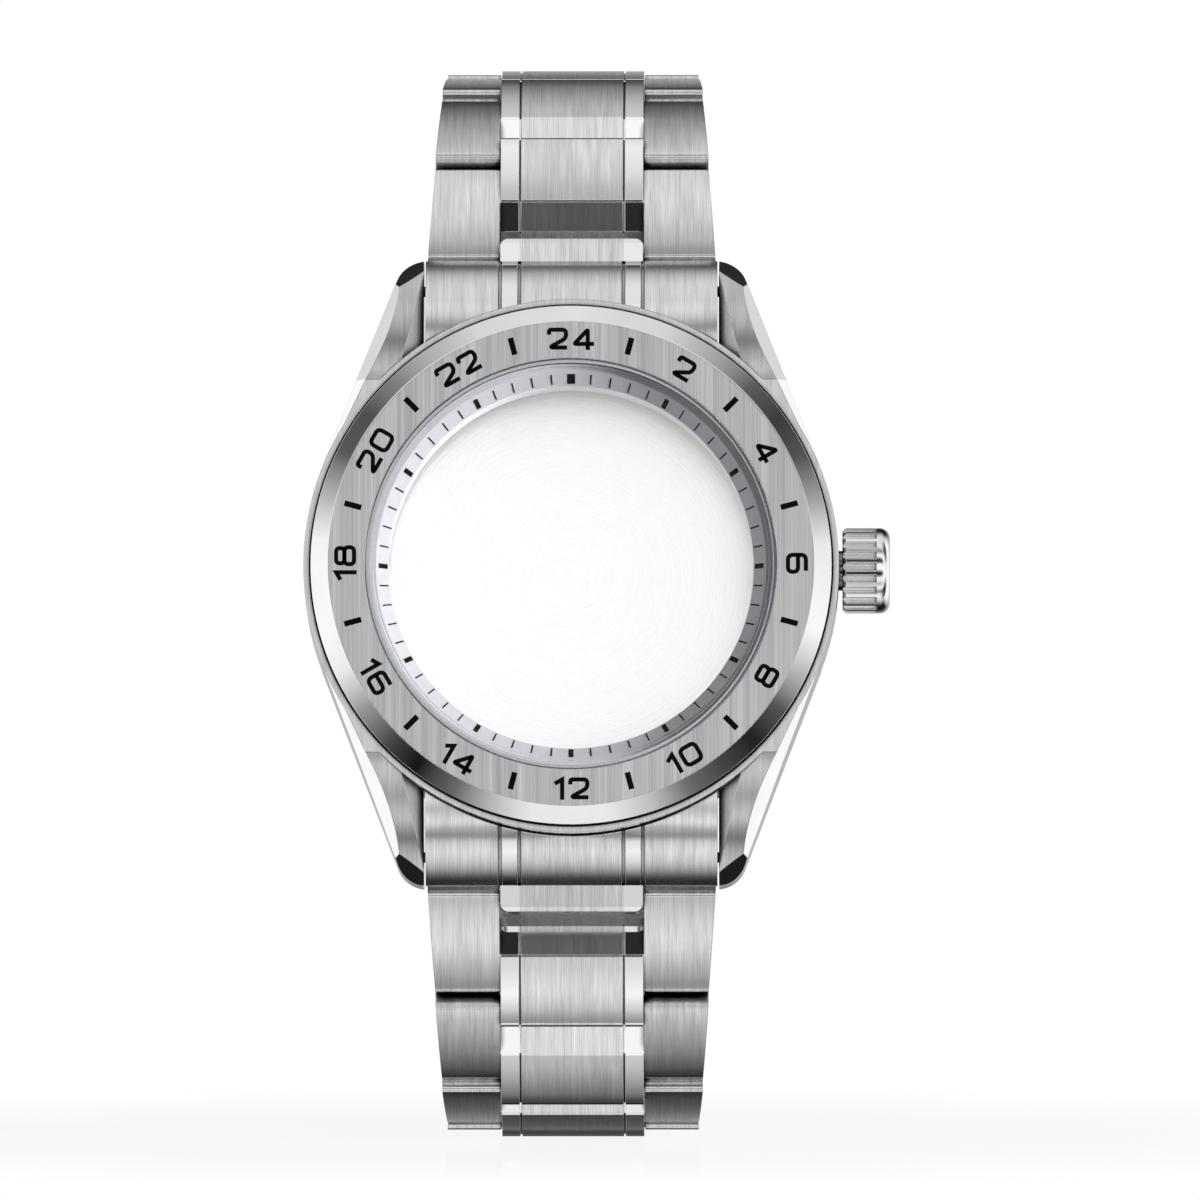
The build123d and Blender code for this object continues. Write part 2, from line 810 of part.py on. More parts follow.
def knuckle(u, v, plate_u, plate_v_start, plate_v_end):
    """Side view of a hinge knuckle with the tongue that joins it to its plate."""
    with BuildSketch() as outline:
        with Locations((u, v)):
            Circle(knuckle_radius)
        add(slab(min(u, plate_u), max(u, plate_u), plate_v_start, plate_v_end))
    return outline.sketch


def disc(u, v, radius):
    """Circle in the clasp's side view."""
    with BuildSketch() as outline:
        with Locations((u, v)):
            Circle(radius)
    return outline.sketch


def ear_planes():
    """Planes at the inner faces of a pair of ears, each facing outwards."""
    right = clasp_plane.offset(ear_start)
    left = clasp_plane.offset(-ear_end)
    return right, left


with BuildPart() as inner_blade:
    with BuildSketch(clasp_plane):
        with BuildLine():
            Polyline(
                (-link_end, -link_inner),
                (-link_end, link_outer - outer_chamfer),
                (-link_end + outer_chamfer, link_outer),
                (block_length, link_outer),
                (block_length, -link_inner),
                close=True,
            )
        make_face()
    extrude(amount=block_half, both=True)
    fillet(inner_blade.edges().filter_by(Axis.X).group_by(Axis.Y)[0].sort_by(Axis.Z)[-1], inner_fillet)
    with BuildSketch(clasp_plane):
        add(slab(-centre_start, centre_start, -link_thickness, link_thickness))
    extrude(amount=slot_half, both=True, mode=Mode.SUBTRACT)
    with BuildSketch(clasp_plane):
        add(slab(block_length - blade_gap, fold_u - knuckle_reach, inner_bottom, inner_top))
    extrude(amount=blade_half, both=True)
    for plane in ear_planes():
        with BuildSketch(plane):
            add(knuckle(fold_u, fold_v, fold_u - knuckle_reach - blade_gap, inner_bottom, inner_top))
        extrude(amount=knuckle_ear)
    with BuildSketch(clasp_plane):
        add(disc(0, 0, pin_radius))
        add(disc(fold_u, fold_v, clasp_pin_radius))
    extrude(amount=block_half, both=True, mode=Mode.SUBTRACT)
save(inner_blade, "inner_blade")

with BuildPart() as middle_blade:
    with BuildSketch(clasp_plane):
        add(slab(lift_u + knuckle_reach, fold_u - knuckle_reach, middle_bottom, middle_top))
    extrude(amount=blade_half, both=True)
    with BuildSketch(clasp_plane):
        add(knuckle(fold_u, fold_v, fold_u - knuckle_reach - blade_gap, middle_bottom, middle_top))
        add(knuckle(lift_u, lift_v, lift_u + knuckle_reach + blade_gap, middle_bottom, middle_top))
    extrude(amount=knuckle_half, both=True)
    with BuildSketch(clasp_plane):
        add(disc(fold_u, fold_v, clasp_pin_radius + pin_clearance))
        add(disc(lift_u, lift_v, clasp_pin_radius + pin_clearance))
    extrude(amount=knuckle_half, both=True, mode=Mode.SUBTRACT)
save(middle_blade, "middle_blade")

cover_start_u = block_length + cover_end_gap
cover_end_u = clasp_length + link_end
cover_half = block_half + cover_side
wall_bottom = inner_bottom + wall_lift
button_u = clasp_length - button_inset
button_v = (wall_bottom + cover_bottom) / 2
button_planes = (
    (clasp_plane.offset(cover_half - cover_wall), 1, "right"),
    (clasp_plane.offset(cover_wall - cover_half), -1, "left"),
)
with BuildPart() as clasp_cover:
    with BuildSketch(clasp_plane):
        add(slab(cover_start_u, cover_end_u, -link_inner, cover_top))
    extrude(amount=cover_half, both=True)
    long_edges = clasp_cover.edges().filter_by(Axis.Z).group_by(Axis.Y)[-1]
    end_edges = clasp_cover.edges().filter_by(Axis.X).group_by(Axis.Y)[-1]
    fillet(long_edges + end_edges, cover_corner)
    fillet(clasp_cover.edges().filter_by(Axis.X).group_by(Axis.Y)[0].sort_by(Axis.Z)[0], inner_fillet)
    with BuildSketch(clasp_plane):
        add(slab(0, clasp_length - ear_block, -2 * link_inner, cover_bottom))
    extrude(amount=cover_half - cover_wall, both=True, mode=Mode.SUBTRACT)
    with BuildSketch(clasp_plane):
        add(slab(0, clasp_length - ear_block, -2 * link_inner, wall_bottom))
    extrude(amount=cover_half, both=True, mode=Mode.SUBTRACT)
    with BuildSketch(clasp_plane):
        add(slab(clasp_length - ear_block, 2 * clasp_length, -2 * link_inner, 2 * cover_top))
    extrude(amount=slot_half, both=True, mode=Mode.SUBTRACT)
    for plane in ear_planes():
        with BuildSketch(plane):
            add(disc(lift_u, lift_v, knuckle_radius))
            add(slab(lift_u - knuckle_radius, lift_u + knuckle_radius, lift_v, cover_bottom))
        extrude(amount=knuckle_ear)
    with BuildSketch(clasp_plane):
        add(disc(lift_u, lift_v, clasp_pin_radius))
    extrude(amount=ear_end, both=True, mode=Mode.SUBTRACT)
    with BuildSketch(clasp_plane):
        add(disc(clasp_length, 0, pin_radius))
        add(disc(button_u, button_v, button_radius + ring_clearance))
    extrude(amount=cover_half, both=True, mode=Mode.SUBTRACT)
save(clasp_cover, "clasp_cover")

for plane, side, label in button_planes:
    with BuildPart() as button:
        with BuildSketch(plane.offset(-side * (button_flange + ring_clearance))):
            add(disc(button_u, button_v, button_radius + button_head_grow))
        extrude(amount=side * button_flange)
        with BuildSketch(plane.offset(-side * ring_clearance)):
            add(disc(button_u, button_v, button_radius))
        extrude(amount=side * (cover_wall + ring_clearance + button_stand))
        chamfer(button.faces().sort_by(Axis.X)[-1 if side > 0 else 0].edges(), outer_chamfer)
    save(button, f"button_{label}")

clasp_pins = (
    ("clasp_pin", 0, 0, pin_radius, block_half - pin_recess),
    ("blade_pin", fold_u, fold_v, clasp_pin_radius, ear_end),
    ("cover_pin", lift_u, lift_v, clasp_pin_radius, ear_end),
    ("end_pin", clasp_length, 0, pin_radius, cover_half - pin_recess),
)
for name, u, v, radius, half in clasp_pins:
    with BuildPart() as pin:
        with BuildSketch(clasp_plane):
            add(disc(u, v, radius))
        extrude(amount=half, both=True)
    save(pin, name)
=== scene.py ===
import json
from math import cos, pi, radians, sin

import bmesh
import bpy
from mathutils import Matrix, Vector


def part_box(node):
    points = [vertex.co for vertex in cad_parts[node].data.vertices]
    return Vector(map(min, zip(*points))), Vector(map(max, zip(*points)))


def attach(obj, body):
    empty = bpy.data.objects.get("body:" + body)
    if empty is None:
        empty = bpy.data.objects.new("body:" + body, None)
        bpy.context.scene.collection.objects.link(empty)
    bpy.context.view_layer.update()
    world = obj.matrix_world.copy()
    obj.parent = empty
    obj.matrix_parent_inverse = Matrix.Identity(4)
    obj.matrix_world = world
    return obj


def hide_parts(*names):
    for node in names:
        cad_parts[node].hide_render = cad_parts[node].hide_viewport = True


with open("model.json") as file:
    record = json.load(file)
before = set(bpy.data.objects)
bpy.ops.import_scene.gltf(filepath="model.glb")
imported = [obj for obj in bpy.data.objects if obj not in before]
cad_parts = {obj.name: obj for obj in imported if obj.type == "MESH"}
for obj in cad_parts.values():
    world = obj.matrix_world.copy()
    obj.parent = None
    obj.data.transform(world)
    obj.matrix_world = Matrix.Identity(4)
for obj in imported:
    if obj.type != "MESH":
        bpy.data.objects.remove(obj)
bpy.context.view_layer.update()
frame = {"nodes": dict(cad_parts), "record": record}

# Looks of the empty watch case. Metres, in the frame of the solids: +Z is 12 o'clock,
# the crystal faces -Y and the crown points along +X.
MM = 0.001
nodes = frame["nodes"]

# Sizes that follow the solids, in millimetres
BEZEL_FRONT_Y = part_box("bezel")[0][1] / MM
CHAPTER_TOP = (14.5, -4.18)
CHAPTER_EDGE = (13.67, -3.1)


def linear(value):
    """Screen grey of 0 to 255 as a light value."""
    share = value / 255
    return share / 12.92 if share <= 0.04045 else ((share + 0.055) / 1.055) ** 2.4


def even(value):
    """Neutral colour of a light value."""
    return (value, value, value, 1)


# Finishes, in millimetres: heights of the relief, rounding of edges, size of a smear
SCRATCH_DEPTH = 0.0008
SMEAR_DEPTH = 0.0004
GRAIN_DEPTH = 0.002
EDGE_ROUND = 0.1
SMEAR_SIZE = 2.5
MIRROR = (0.97, 0.97, 0.98)
MIRROR_ROUGH = 0.05
CRYSTAL_IOR = 1.15
# Painted shade in gaps and grooves: reach of the occlusion in millimetres, its range and darkest
# share
PAINTED_SHADE_REACH = 0.7
PAINTED_SHADE_RANGE = (0.42, 0.85)
PAINTED_SHADE_DARK = 0.02
STRIP_INSIDE = 3.9
STRIP_OUTSIDE = 5.4


# Small node helpers
class Tree:
    """Shorthand for building a node tree."""

    def __init__(self, tree):
        self.tree = tree
        tree.nodes.clear()

    def add(self, kind, **settings):
        node = self.tree.nodes.new(kind)
        for key, value in settings.items():
            setattr(node, key, value)
        return node

    def join(self, out, into):
        self.tree.links.new(out, into)

    def math(self, operation, one, two=None):
        """A Math node on outputs or plain numbers."""
        node = self.add("ShaderNodeMath", operation=operation)
        for socket, value in zip(node.inputs, (one, two)):
            if isinstance(value, bpy.types.NodeSocket):
                self.join(value, socket)
            elif value is not None:
                socket.default_value = value
        return node.outputs[0]


def ramp(tree, stops, source):
    """Colour ramp of (place, screen grey) stops on a factor."""
    node = tree.add("ShaderNodeValToRGB")
    elements = node.color_ramp.elements
    for place, grey in stops:
        if place == 0:
            element = elements[0]
        elif place == 1:
            element = elements[-1]
        else:
            element = elements.new(place)
        element.color = even(linear(grey))
    tree.join(source, node.inputs["Fac"])
    return node.outputs["Color"]


def mapped(tree, scale):
    """Coordinates of the piece itself, in metres, stretched."""
    place = tree.add("ShaderNodeTexCoord")
    mapping = tree.add("ShaderNodeMapping")
    mapping.inputs["Scale"].default_value = scale
    tree.join(place.outputs["Object"], mapping.inputs["Vector"])
    return mapping.outputs["Vector"]


def noise(tree, vector, detail=3.0, rough=0.6):
    node = tree.add("ShaderNodeTexNoise")
    node.inputs["Scale"].default_value = 1.0
    node.inputs["Detail"].default_value = detail
    node.inputs["Roughness"].default_value = rough
    tree.join(vector, node.inputs["Vector"])
    return node.outputs["Fac"]


def spread(tree, source, low, high, start=0.3, end=0.7):
    """Map a factor from start and end to low and high."""
    node = tree.add("ShaderNodeMapRange")
    node.inputs["From Min"].default_value = start
    node.inputs["From Max"].default_value = end
    node.inputs["To Min"].default_value = low
    node.inputs["To Max"].default_value = high
    tree.join(source, node.inputs["Value"])
    return node.outputs["Result"]


def tinted(tree, source, dark, light):
    """Colour between two colours by a factor."""
    node = tree.add("ShaderNodeMix", data_type="RGBA")
    node.inputs["A"].default_value = (*dark, 1)
    node.inputs["B"].default_value = (*light, 1)
    tree.join(source, node.inputs["Factor"])
    return node.outputs["Result"]


def begin(name, metallic=0.0):
    """A material with a Principled shader and its output."""
    material = bpy.data.materials.new(name)
    material.use_nodes = True
    tree = Tree(material.node_tree)
    output = tree.add("ShaderNodeOutputMaterial")
    shader = tree.add("ShaderNodeBsdfPrincipled")
    shader.inputs["Metallic"].default_value = metallic
    tree.join(shader.outputs[0], output.inputs["Surface"])
    return material, tree, shader


def relief(tree, shader, source, height, edge=0.0):
    """Bump of a height in millimetres, on edges rounded by a radius in millimetres."""
    node = tree.add("ShaderNodeBump")
    node.inputs["Distance"].default_value = height * MM
    tree.join(source, node.inputs["Height"])
    if edge:
        rounding = tree.add("ShaderNodeBevel", samples=6)
        rounding.inputs["Radius"].default_value = edge * MM
        tree.join(rounding.outputs["Normal"], node.inputs["Normal"])
    tree.join(node.outputs["Normal"], shader.inputs["Normal"])


def crevices(tree, colour):
    """Painted shade: darken a colour in gaps and grooves, where light doesn't reach."""
    near = tree.add("ShaderNodeAmbientOcclusion", samples=8)
    near.inputs["Distance"].default_value = PAINTED_SHADE_REACH * MM
    shade = tree.add("ShaderNodeMix", data_type="RGBA", blend_type="MULTIPLY")
    shade.inputs["Factor"].default_value = 1.0
    tree.join(colour, shade.inputs["A"])
    tree.join(spread(tree, near.outputs["AO"], PAINTED_SHADE_DARK, 1, *PAINTED_SHADE_RANGE), shade.inputs["B"])
    return shade.outputs["Result"]


def own_place(tree):
    """X, Y and Z of the piece itself."""
    place = tree.add("ShaderNodeTexCoord")
    split = tree.add("ShaderNodeSeparateXYZ")
    tree.join(place.outputs["Object"], split.inputs[0])
    return split.outputs


def from_axis(tree):
    """Distance from the case axis."""
    x, _, z = own_place(tree)
    squares = [tree.math("MULTIPLY", side, side) for side in (x, z)]
    return tree.math("SQRT", tree.math("ADD", *squares))


def strips(tree):
    """1 on the two polished strips of the bracelet's centre row, 0 elsewhere."""
    aside = tree.math("ABSOLUTE", own_place(tree)[0])
    beyond = tree.math("GREATER_THAN", aside, STRIP_INSIDE * MM)
    within = tree.math("LESS_THAN", aside, STRIP_OUTSIDE * MM)
    return tree.math("MULTIPLY", beyond, within)


def brushed(name, dark, light, streak=0.07, length=5.0, rough=0.22, across="X", shiny=None):
    """Steel scratched at right angles to the direction across, a mirror where shiny is 1."""
    fine = 1 / (streak * MM)
    far = 1 / (length * MM)
    material, tree, shader = begin(name, 1.0)
    narrow = mapped(tree, [fine if axis == across else far for axis in "XYZ"])
    lines = noise(tree, narrow, 4.0, 0.7)
    wide = noise(tree, mapped(tree, [fine / 6 if axis == across else far for axis in "XYZ"]), 2.0)
    both = tree.add("ShaderNodeMix", data_type="FLOAT")
    both.inputs["Factor"].default_value = 0.35
    tree.join(lines, both.inputs["A"])
    tree.join(wide, both.inputs["B"])
    pattern = both.outputs["Result"]
    shader.inputs["Anisotropic"].default_value = 0.8
    colour = tinted(tree, spread(tree, pattern, 0, 1, 0.35, 0.65), dark, light)
    gloss = spread(tree, pattern, rough + 0.06, rough - 0.06)
    if shiny:
        mask = shiny(tree)
        mirror = tree.add("ShaderNodeMix", data_type="RGBA")
        tree.join(mask, mirror.inputs["Factor"])
        tree.join(colour, mirror.inputs["A"])
        mirror.inputs["B"].default_value = (*MIRROR, 1)
        colour = mirror.outputs["Result"]
        gloss = tree.math("MULTIPLY", gloss, spread(tree, mask, 1, MIRROR_ROUGH / rough, 0, 1))
        pattern = tree.math("MULTIPLY", pattern, spread(tree, mask, 1, 0, 0, 1))
    # The colour gets painted shade in gaps and grooves
    tree.join(crevices(tree, colour), shader.inputs["Base Color"])
    tree.join(gloss, shader.inputs["Roughness"])
    tangent = tree.add("ShaderNodeCombineXYZ")
    for axis in "XYZ":
        tangent.inputs[axis].default_value = 1.0 if axis == across else 0.001
    tree.join(tangent.outputs["Vector"], shader.inputs["Tangent"])
    relief(tree, shader, pattern, SCRATCH_DEPTH, EDGE_ROUND)
    return material


def polished(name, rough, colour):
    """Steel without scratches, from mirror to satin by its roughness, faintly uneven."""
    material, tree, shader = begin(name, 1.0)
    smear = noise(tree, mapped(tree, (1 / (SMEAR_SIZE * MM),) * 3), 2.0)
    darker = tuple(part * 0.96 for part in colour)
    tint = tinted(tree, spread(tree, smear, 0, 1), darker, colour)
    # The colour gets painted shade in gaps and grooves
    tree.join(crevices(tree, tint), shader.inputs["Base Color"])
    tree.join(spread(tree, smear, rough, rough + 0.03), shader.inputs["Roughness"])
    relief(tree, shader, smear, SMEAR_DEPTH, EDGE_ROUND)
    return material


def turned(name, dark, light, rough=0.3, pitch=0.09):
    """Metal turned on a lathe about the case axis: fine rings."""
    material, tree, shader = begin(name, 1.0)
    rings = tree.add("ShaderNodeTexNoise", noise_dimensions="1D")
    rings.inputs["Scale"].default_value = 1 / (pitch * MM)
    rings.inputs["Detail"].default_value = 3.0
    tree.join(from_axis(tree), rings.inputs["W"])
    pattern = rings.outputs["Fac"]
    tree.join(tinted(tree, spread(tree, pattern, 0, 1), dark, light), shader.inputs["Base Color"])
    tree.join(spread(tree, pattern, rough + 0.05, rough - 0.05), shader.inputs["Roughness"])
    relief(tree, shader, pattern, SMEAR_DEPTH, EDGE_ROUND)
    return material


def plain(name, dark, light, rough, grain=0.2, shine=0.5):
    """Plastic, rubber or paint with a faint mottle."""
    material, tree, shader = begin(name)
    mottle = noise(tree, mapped(tree, (1 / (grain * MM),) * 3), 3.0)
    shader.inputs["Specular IOR Level"].default_value = shine
    tree.join(tinted(tree, spread(tree, mottle, 0, 1), dark, light), shader.inputs["Base Color"])
    tree.join(spread(tree, mottle, rough - 0.05, rough + 0.05), shader.inputs["Roughness"])
    relief(tree, shader, mottle, GRAIN_DEPTH)
    return material


def glass(name):
    """Clear coated glass that lets the lamps through."""
    material, tree, shader = begin(name)
    shader.inputs["Base Color"].default_value = (1, 1, 1, 1)
    shader.inputs["Transmission Weight"].default_value = 1.0
    shader.inputs["Roughness"].default_value = 0.0
    shader.inputs["IOR"].default_value = CRYSTAL_IOR
    clear = tree.add("ShaderNodeBsdfTransparent")
    rays = tree.add("ShaderNodeLightPath")
    lamps = tree.math("MAXIMUM", rays.outputs["Is Shadow Ray"], rays.outputs["Is Diffuse Ray"])
    both = tree.add("ShaderNodeMixShader")
    tree.join(lamps, both.inputs["Fac"])
    tree.join(shader.outputs[0], both.inputs[1])
    tree.join(clear.outputs[0], both.inputs[2])
    output = next(node for node in tree.tree.nodes if node.type == "OUTPUT_MATERIAL")
    tree.join(both.outputs[0], output.inputs["Surface"])
    return material


# Materials
link_steel = brushed("link_brushed_steel", (0.66, 0.66, 0.67), (1.0, 1.0, 1.0), shiny=strips)
blade_steel = brushed("blade_brushed_steel", (0.60, 0.60, 0.61), (0.84, 0.84, 0.85))
case_steel = brushed("case_brushed_steel", (0.50, 0.50, 0.51), (0.70, 0.70, 0.71))
side_steel = brushed("side_brushed_steel", (0.50, 0.50, 0.51), (0.70, 0.70, 0.71), across="Y")
bezel_steel = brushed(
    "bezel_brushed_steel",
    (0.40, 0.40, 0.40),
    (0.62, 0.62, 0.62),
    streak=0.13,
    length=40.0,
    rough=0.3,
)
mirror_steel = polished("polished_steel", MIRROR_ROUGH, MIRROR)
satin_steel = polished("satin_steel", 0.6, MIRROR)
flank_steel = polished("flank_steel", 0.2, (0.60, 0.60, 0.61))
ring_silver = plain("chapter_ring_silver", (0.46, 0.47, 0.50), (0.52, 0.53, 0.56), 0.45, shine=0.3)
inside_steel = turned("caseback_inside_steel", (0.95, 0.95, 0.95), (0.98, 0.98, 0.98))
back_steel = turned("caseback_turned_steel", (0.50, 0.50, 0.51), (0.66, 0.66, 0.67))
seat_plastic = plain("movement_ring_plastic", (0.90, 0.90, 0.89), (0.95, 0.95, 0.94), 0.5)
gasket_plastic = plain("gasket_nylon", (0.34, 0.35, 0.37), (0.40, 0.41, 0.43), 0.35)
seal_rubber = plain("seal_rubber", (0.02, 0.02, 0.02), (0.04, 0.04, 0.04), 0.6)
black_fill = plain("black_enamel", (0.001, 0.001, 0.001), (0.003, 0.003, 0.003), 0.5, shine=0.05)
clear_glass = glass("crystal_glass")


def wear(names, material):
    """Give whole nodes one material."""
    for name in names:
        mesh = nodes[name].data
        mesh.materials.clear()
        mesh.materials.append(material)


def wear_by_face(name, materials, choose):
    """Give each face of a node the material that choose(centre, normal) numbers."""
    mesh = nodes[name].data
    mesh.materials.clear()
    for material in materials:
        mesh.materials.append(material)
    for face in mesh.polygons:
        face.material_index = choose(face.center / MM, face.normal)


SIDES = ("12", "6")
LINK_NUMBERS = range(1, 8)
link_names = [f"link_{side}_{n}" for side in SIDES for n in LINK_NUMBERS]
pin_names = [f"pin_{side}_{n}" for side in SIDES for n in LINK_NUMBERS]
wear(pin_names, mirror_steel)
wear(["clasp_pin", "blade_pin", "cover_pin", "end_pin"], mirror_steel)
wear(["spring_bar_12", "spring_bar_6"], mirror_steel)
wear(["button_right", "button_left", "crown_tube", "crown"], mirror_steel)
wear(["chapter_ring"], ring_silver)
wear(["movement_ring"], seat_plastic)
wear(["crystal_gasket"], gasket_plastic)
wear(["caseback_gasket", "crown_gasket"], seal_rubber)
wear(["crystal"], clear_glass)


def flank_face(centre, normal):
    """Side faces of links and clasp are satin, the rest is brushed lengthwise."""
    return 1 if abs(normal.x) > 0.5 else 0


LUG_START_Z = 12
LUG_INSIDE_X = 11.2


def case_face(centre, normal):
    """Lug fronts, case back and case side are brushed, inner facets satin, outer ones polished."""
    if abs(normal.x) < 0.05 and normal.y < -0.1:
        return 0
    if normal.y < -0.3 and normal.x * centre.x < 0 and abs(centre.z) > LUG_START_Z:
        return 3
    if abs(normal.y) < 0.1 and abs(centre.x) > LUG_INSIDE_X:
        return 2
    return 0 if normal.y > 0.9 else 1


def bezel_face(centre, normal):
    """The flat ring is brushed, the slope and edges polished."""
    return 0 if normal.y < -0.98 and centre.y < BEZEL_FRONT_Y + 0.05 else 1


def back_face(centre, normal):
    """Both plates are turned, the inner one bright, and the flange's edge is polished."""
    if abs(normal.y) > 0.9:
        return 0 if normal.y < 0 else 2
    return 1


for name in link_names + ["end_link_12", "end_link_6"]:
    wear_by_face(name, (link_steel, flank_steel), flank_face)
for name in ("clasp_cover", "inner_blade", "middle_blade"):
    wear_by_face(name, (blade_steel, flank_steel), flank_face)
wear_by_face("mid_case", (case_steel, mirror_steel, side_steel, satin_steel), case_face)
wear_by_face("bezel", (bezel_steel, mirror_steel), bezel_face)
wear_by_face("caseback", (inside_steel, mirror_steel, back_steel), back_face)

# Numerals of the 24-hour scale, drawn as strokes in a unit box
NUMERAL_HEIGHT = 1.65
NUMERAL_STROKE = 0.31
NUMERAL_RADIUS = 16.9
NUMERAL_SPACE = 0.3
BAR_LENGTH = 1.3
BAR_WIDTH = 0.42
INK_HEIGHT = 0.012
MARK_LENGTH = 1.05
MARK_HEIGHT = 0.035
MINUTE_WIDTH = 0.11
FIFTH_WIDTH = 0.36
TOP_WIDTH = 0.6
ROUND_STEPS = 6
GLYPHS = {
    "0": (0.95, [([(0, 0), (1, 0), (1, 1), (0, 1)], True, 0.3)]),
    "1": (0.42, [([(0, 0.76), (1, 1.0), (1, -0.14)], False, 0.0)]),
    "2": (0.95, [([(0, 0.72), (0, 1), (1, 1), (1, 0.52), (0, 0.0), (1.06, 0.0)], False, 0.3)]),
    "4": (1.05, [([(0.72, -0.14), (0.72, 1), (0, 0.2), (1.05, 0.2)], False, 0.12)]),
    "6": (0.95, [([(0.94, 1), (0, 1), (0, 0), (1, 0), (1, 0.56), (0, 0.56)], False, 0.3)]),
    "8": (
        0.95,
        [
            ([(0.05, 0.54), (0.95, 0.54), (0.95, 1), (0.05, 1)], True, 0.22),
            ([(0, 0), (1, 0), (1, 0.54), (0, 0.54)], True, 0.25),
        ],
    ),
}


def rounded(points, closed, radius):
    """Polyline with its corners replaced by short arcs."""
    result = []
    count = len(points)
    for index, point in enumerate(points):
        here = Vector(point)
        if not closed and index in (0, count - 1):
            result.append(here)
            continue
        before = Vector(points[index - 1])
        after = Vector(points[(index + 1) % count])
        to_before = before - here
        to_after = after - here
        cut = min(radius, 0.48 * to_before.length, 0.48 * to_after.length)
        if cut < 1e-4:
            result.append(here)
            continue
        first = here + to_before.normalized() * cut
        last = here + to_after.normalized() * cut
        for step in range(ROUND_STEPS + 1):
            t = step / ROUND_STEPS
            result.append((1 - t) ** 2 * first + 2 * t * (1 - t) * here + t**2 * last)
    return result


def ribbon(mesh, points, closed, width, place):
    """Flat stroke of a given width along points, raised a little; place maps it to 3-D."""
    count = len(points)
    rows = []
    for index, here in enumerate(points):
        before = points[index - 1] if closed or index else None
        after = points[(index + 1) % count] if closed or index < count - 1 else None
        ways = []
        if before is not None and (here - before).length > 1e-6:
            ways.append((here - before).normalized())
        if after is not None and (after - here).length > 1e-6:
            ways.append((after - here).normalized())
        along = sum(ways, Vector((0, 0)))
        along = along.normalized() if along.length > 1e-6 else ways[0]
        across = Vector((-along.y, along.x))
        open_by = max(0.35, abs(along.dot(ways[0])))
        half = across * (width / 2 / open_by)
        rows.append([
            mesh.verts.new(place(here + half, 0)),
            mesh.verts.new(place(here + half, 1)),
            mesh.verts.new(place(here - half, 1)),
            mesh.verts.new(place(here - half, 0)),
        ])
    pairs = list(zip(rows, rows[1:] + rows[:1])) if closed else list(zip(rows, rows[1:]))
    for one, two in pairs:
        for k in range(4):
            mesh.faces.new((one[k], one[(k + 1) % 4], two[(k + 1) % 4], two[k]))
    if not closed:
        mesh.faces.new(rows[0])
        mesh.faces.new(rows[-1][::-1])


def upright(length):
    """Ends of a straight stroke about the middle of its plane."""
    return [Vector((0, -length / 2)), Vector((0, length / 2))]


def finished(mesh, name, material, body="case"):
    """Turn a bmesh into a printed piece that rides on a body."""
    bmesh.ops.recalc_face_normals(mesh, faces=mesh.faces)
    data = bpy.data.meshes.new(name)
    mesh.to_mesh(data)
    mesh.free()
    data.materials.append(material)
    piece = bpy.data.objects.new(name, data)
    bpy.context.scene.collection.objects.link(piece)
    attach(piece, body)
    return piece


def on_bezel(angle, radius, flip):
    """Map from a numeral's own plane to the bezel's flat ring; angle clockwise from 12."""
    out = Vector((sin(angle), cos(angle)))
    up = -out if flip else out
    right = Vector((up.y, -up.x))
    centre = out * radius

    def place(point, layer):
        spot = centre + right * point.x + up * point.y
        return Vector((spot.x, BEZEL_FRONT_Y - layer * INK_HEIGHT, spot.y)) * MM

    return place


def bezel_scale():
    """All numerals and bars of the bezel in one piece."""
    mesh = bmesh.new()
    tall = NUMERAL_HEIGHT - NUMERAL_STROKE
    for hour in range(24):
        angle = 2 * pi * hour / 24
        if hour % 2:
            place = on_bezel(angle, NUMERAL_RADIUS, False)
            ribbon(mesh, upright(BAR_LENGTH), False, BAR_WIDTH, place)
            continue
        text = "24" if hour == 0 else str(hour)
        flip = 8 <= hour <= 16
        place = on_bezel(angle, NUMERAL_RADIUS, flip)
        widths = [GLYPHS[sign][0] * tall for sign in text]
        total = sum(widths) + (len(text) - 1) * (NUMERAL_SPACE + NUMERAL_STROKE)
        left = -total / 2
        for sign, width in zip(text, widths):
            for points, closed, corner in GLYPHS[sign][1]:
                line = [
                    Vector((left + p.x * width, (p.y - 0.5) * tall))
                    for p in rounded(points, closed, corner)
                ]
                ribbon(mesh, line, closed, NUMERAL_STROKE, place)
            left += width + NUMERAL_SPACE + NUMERAL_STROKE
    return finished(mesh, "bezel_scale", black_fill)


def on_chapter(angle):
    """Map from a tick's own plane to the chapter ring's slope."""
    (top_radius, top_y), (edge_radius, edge_y) = CHAPTER_TOP, CHAPTER_EDGE
    middle_radius = (top_radius + edge_radius) / 2
    middle_y = (top_y + edge_y) / 2
    slope = Vector((top_radius - edge_radius, top_y - edge_y)).normalized()
    face = Vector((-abs(slope.y), -abs(slope.x)))
    out = Vector((sin(angle), cos(angle)))
    right = Vector((out.y, -out.x))

    def place(point, layer):
        radius = middle_radius + slope.x * point.y + face.x * layer * MARK_HEIGHT
        y = middle_y + slope.y * point.y + face.y * layer * MARK_HEIGHT
        spot = out * radius + right * point.x
        return Vector((spot.x, y, spot.y)) * MM

    return place


def minute_marks():
    """Sixty ticks on the chapter ring, with a block at each fifth."""
    mesh = bmesh.new()
    for minute in range(60):
        place = on_chapter(2 * pi * minute / 60)
        if minute == 0:
            width = TOP_WIDTH
        elif minute % 5 == 0:
            width = FIFTH_WIDTH
        else:
            width = MINUTE_WIDTH
        ribbon(mesh, upright(MARK_LENGTH), False, width, place)
    return finished(mesh, "minute_marks", black_fill)


